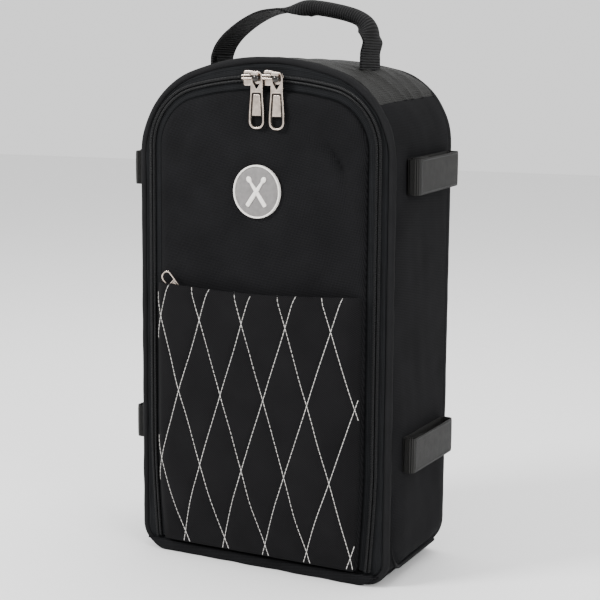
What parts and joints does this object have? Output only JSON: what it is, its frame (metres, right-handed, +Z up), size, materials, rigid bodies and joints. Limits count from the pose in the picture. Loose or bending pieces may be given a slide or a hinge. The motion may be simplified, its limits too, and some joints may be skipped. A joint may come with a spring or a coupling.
{
  "type": "drum stick bag",
  "caption": "Upright padded stick bag with a zipped full-height lid, quilted front pocket, webbing side loops, round badge and a folded webbing carry handle.",
  "frame": {"origin": "centre of the base on the surface it stands on", "axes": "+Z up, -Y out of the front with the lid and pocket, +X to the right seen from the front"},
  "size_m": [0.2772, 0.1405, 0.4972],
  "materials": {
    "shell_fabric": "near-black fine-weave polyester over foam, matt with a faint sheen",
    "top_nylon": "coarse textured nylon with a low sheen",
    "quilted_fabric": "near-black fabric quilted in tall diamonds with white thread",
    "edge_binding": "woven binding tape over cord",
    "zipper_tape": "ribbed black zipper tape",
    "zipper_coil": "black nylon coil with a soft shine",
    "webbing": "black nylon webbing with a visible weave and a grey sheen",
    "grip_webbing": "webbing folded in half, with a fine twill face",
    "foam": "closed-cell padding foam, hidden between fabric and lining",
    "lining": "dark grey lining cloth",
    "badge_grey": "satin warm grey",
    "badge_white": "off-white raised plastic",
    "nickel": "die-cast metal plated in warm nickel",
    "stitch_thread": "white polyester sewing thread"
  },
  "bodies": {
    "case": {"back_panel": "shell_fabric", "back_foam": "foam", "back_lining": "lining", "gusset_left": "shell_fabric", "gusset_right": "shell_fabric", "top_gusset": "top_nylon", "foam_left": "foam", "foam_right": "foam", "foam_top": "foam", "base_panel": "shell_fabric", "base_board": "foam", "wall_lining": "lining", "front_piping": "edge_binding", "back_binding": "edge_binding", "case_zipper_tape": "zipper_tape", "case_zipper_coil": "zipper_coil", "loop_upper_left": "webbing", "loop_upper_right": "webbing", "loop_lower_left": "webbing", "loop_lower_right": "webbing", "handle_anchor_left": "webbing", "handle_anchor_right": "webbing", "sleeve_panel": "lining", "sleeve_dividers": "lining", "sleeve_binding": "edge_binding"},
    "lid": {"lid_panel": "shell_fabric", "lid_foam": "foam", "lid_lining": "lining", "lid_zipper_tape": "zipper_tape", "lid_zipper_coil": "zipper_coil", "pocket_front": "quilted_fabric", "pocket_zipper_tape": "zipper_tape", "pocket_zipper_coil": "zipper_coil", "badge_face": "badge_grey", "badge_rim": "badge_white", "badge_emblem": "badge_white"},
    "left_slider": {"slider_left": "nickel"},
    "left_pull": {"pull_left": "nickel"},
    "right_slider": {"slider_right": "nickel"},
    "right_pull": {"pull_right": "nickel"},
    "pocket_runner": {"pocket_slider": "nickel"},
    "pocket_tab": {"pocket_pull": "nickel"},
    "handle": {"handle_strap": "webbing", "handle_grip": "grip_webbing"}
  },
  "joints": [
    {"name": "lid_fold", "type": "hinge", "parent": "case", "child": "lid", "pos_m": [0, -0.0625, 0.01], "axis": [1, 0, 0], "range_deg": [0, 80]},
    {"name": "handle_lean", "type": "hinge", "parent": "case", "child": "handle", "pos_m": [0, 0, 0.44896], "axis": [1, 0, 0], "range_deg": [-40, 40], "stiffness_Nm_per_rad": 0.06},
    {"name": "left_slider_run", "type": "hinge", "parent": "case", "child": "left_slider", "pos_m": [0, -0.0603, 0.122], "axis": [0, 1, 0], "range_deg": [-10, 0]},
    {"name": "right_slider_run", "type": "hinge", "parent": "case", "child": "right_slider", "pos_m": [0, -0.0603, 0.122], "axis": [0, 1, 0], "range_deg": [0, 8]},
    {"name": "left_pull_swivel", "type": "hinge", "parent": "left_slider", "child": "left_pull", "pos_m": [-0.0002, -0.0653, 0.432], "axis": [0, 1, 0], "range_deg": [0, 25]},
    {"name": "right_pull_swivel", "type": "hinge", "parent": "right_slider", "child": "right_pull", "pos_m": [0.0194, -0.0653, 0.43139], "axis": [0, 1, 0], "range_deg": [-90, 0]},
    {"name": "pocket_slider_run", "type": "slide", "parent": "lid", "child": "pocket_runner", "axis": [1, 0, 0], "range_m": [0, 0.14]},
    {"name": "pocket_pull_swivel", "type": "hinge", "parent": "pocket_runner", "child": "pocket_tab", "pos_m": [-0.071, -0.06959, 0.238], "axis": [0, 1, 0], "range_deg": [-8, 65]}
  ]
}
